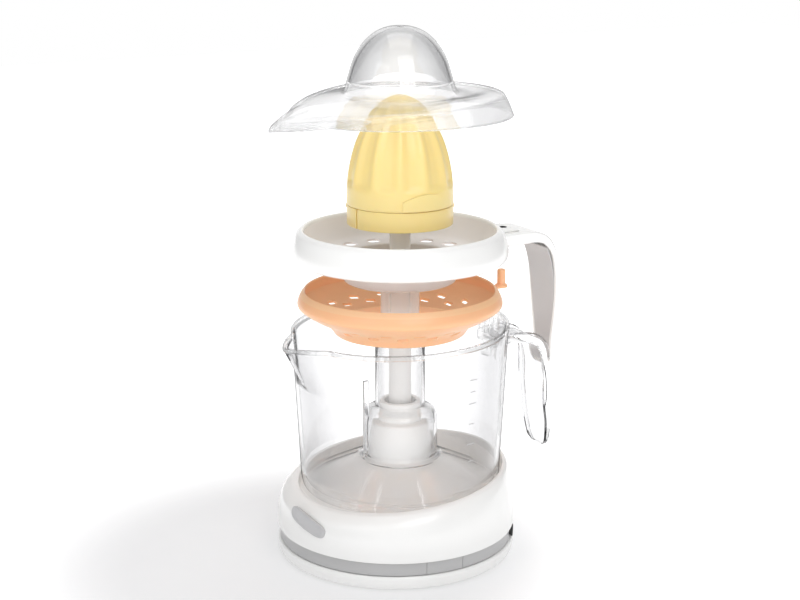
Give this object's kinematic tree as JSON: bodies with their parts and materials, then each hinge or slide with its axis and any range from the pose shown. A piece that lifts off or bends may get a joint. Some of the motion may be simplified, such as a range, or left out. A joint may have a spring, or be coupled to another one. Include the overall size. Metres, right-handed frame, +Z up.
{
  "type": "citrus press juicer",
  "caption": "Electric citrus press drawn apart: clear spouted jug on a round motor base, pulp filter, strainer with strap handle, ribbed reamer cones and domed cover.",
  "frame": {"origin": "centre of the flat underside of the base plate, on the shaft axis", "axes": "+Z up the shaft; +X towards the handles; -X towards the spout"},
  "size_m": [0.2136, 0.1626, 0.3564],
  "materials": {
    "white": "gloss white moulding",
    "band_grey": "satin grey moulding",
    "clear": "clear styrene moulding",
    "orange": "satin light orange moulding",
    "yellow": "satin pale yellow moulding",
    "shaft_white": "satin off-white moulding",
    "rubber": "matt rubber",
    "steel": "zinc-plated steel",
    "brass": "turned brass",
    "black": "matt black moulding",
    "gear_white": "natural acetal",
    "lead_blue": "insulated lead",
    "lead_brown": "insulated lead"
  },
  "bodies": {
    "base": {"base_housing": "white", "base_plate": "white", "cord_band": "band_grey", "cord_gland": "rubber", "gear_chassis": "steel", "motor_can": "steel", "motor_bearing_cap": "black", "idler_axle": "steel", "lower_bush": "brass", "tower_bush": "black", "plunger_spring": "steel", "microswitch": "black", "switch_lever": "steel", "lead_live": "lead_brown", "lead_neutral": "lead_blue", "lead_motor": "lead_brown", "foot_1": "rubber", "base_screw_1": "steel", "chassis_screw_1": "steel", "foot_2": "rubber", "base_screw_2": "steel", "chassis_screw_2": "steel", "foot_3": "rubber", "base_screw_3": "steel", "chassis_screw_3": "steel", "foot_4": "rubber", "base_screw_4": "steel", "chassis_screw_4": "steel", "motor_screw_1": "steel", "motor_screw_2": "steel"},
    "rotor": {"motor_pinion": "brass"},
    "idler": {"idler_gear": "gear_white"},
    "spindle": {"output_spindle": "gear_white", "thrust_washer": "brass"},
    "plunger": {"start_plunger": "shaft_white"},
    "jug": {"jug": "clear"},
    "drive_shaft": {"drive_shaft": "shaft_white"},
    "reamer": {"small_cone": "yellow"},
    "large_cone": {"large_cone": "yellow"},
    "strainer": {"strainer": "white"},
    "pulp_slider": {"pulp_slider": "band_grey"},
    "pulp_filter": {"pulp_filter": "orange"},
    "cover": {"cover": "clear"}
  },
  "joints": [
    {"name": "jug_lift", "type": "slide", "parent": "base", "child": "jug", "axis": [0, 0, 1], "range_m": [0, 0.08]},
    {"name": "strainer_lift", "type": "slide", "parent": "jug", "child": "strainer", "axis": [0, 0, 1], "range_m": [-0.0405, 0]},
    {"name": "pulp_adjust", "type": "hinge", "parent": "strainer", "child": "pulp_slider", "pos_m": [0, 0, 0.212], "axis": [0, 0, 1], "range_deg": [-5, 5]},
    {"name": "filter_lift", "type": "slide", "parent": "pulp_slider", "child": "pulp_filter", "axis": [0, 0, 1], "range_m": [0, 0.034]},
    {"name": "reamer_spin", "type": "hinge", "parent": "jug", "child": "drive_shaft", "pos_m": [0, 0, 0.04], "axis": [0, 0, 1], "continuous": true},
    {"name": "cone_lift", "type": "slide", "parent": "drive_shaft", "child": "reamer", "axis": [0, 0, 1], "range_m": [-0.077, 0]},
    {"name": "large_cone_lift", "type": "slide", "parent": "reamer", "child": "large_cone", "axis": [0, 0, 1], "range_m": [0, 0.036]},
    {"name": "cover_lift", "type": "slide", "parent": "jug", "child": "cover", "axis": [0, 0, 1], "range_m": [-0.1188, 0]},
    {"name": "spindle_spin", "type": "hinge", "parent": "base", "child": "spindle", "pos_m": [0, 0, 0.04], "axis": [0, 0, 1], "continuous": true},
    {"name": "idler_spin", "type": "hinge", "parent": "base", "child": "idler", "pos_m": [-0.018, 0, 0.04], "axis": [0, 0, 1], "continuous": true},
    {"name": "rotor_spin", "type": "hinge", "parent": "base", "child": "rotor", "pos_m": [-0.036, 0, 0.04], "axis": [0, 0, 1], "continuous": true},
    {"name": "start_press", "type": "slide", "parent": "base", "child": "plunger", "axis": [0, 0, 1], "range_m": [-0.0025, 0], "stiffness_N_per_m": 600, "springref_m": 0.0008, "deforming": ["plunger_spring"]}
  ],
  "couplings": [
    {"joint": "filter_lift", "follows": "strainer_lift", "ratio": -0.83951},
    {"joint": "cone_lift", "follows": "strainer_lift", "ratio": 1.9012},
    {"joint": "cover_lift", "follows": "strainer_lift", "ratio": 2.9333},
    {"joint": "spindle_spin", "follows": "reamer_spin", "ratio": 1},
    {"joint": "idler_spin", "follows": "reamer_spin", "ratio": -3},
    {"joint": "rotor_spin", "follows": "reamer_spin", "ratio": 9}
  ]
}
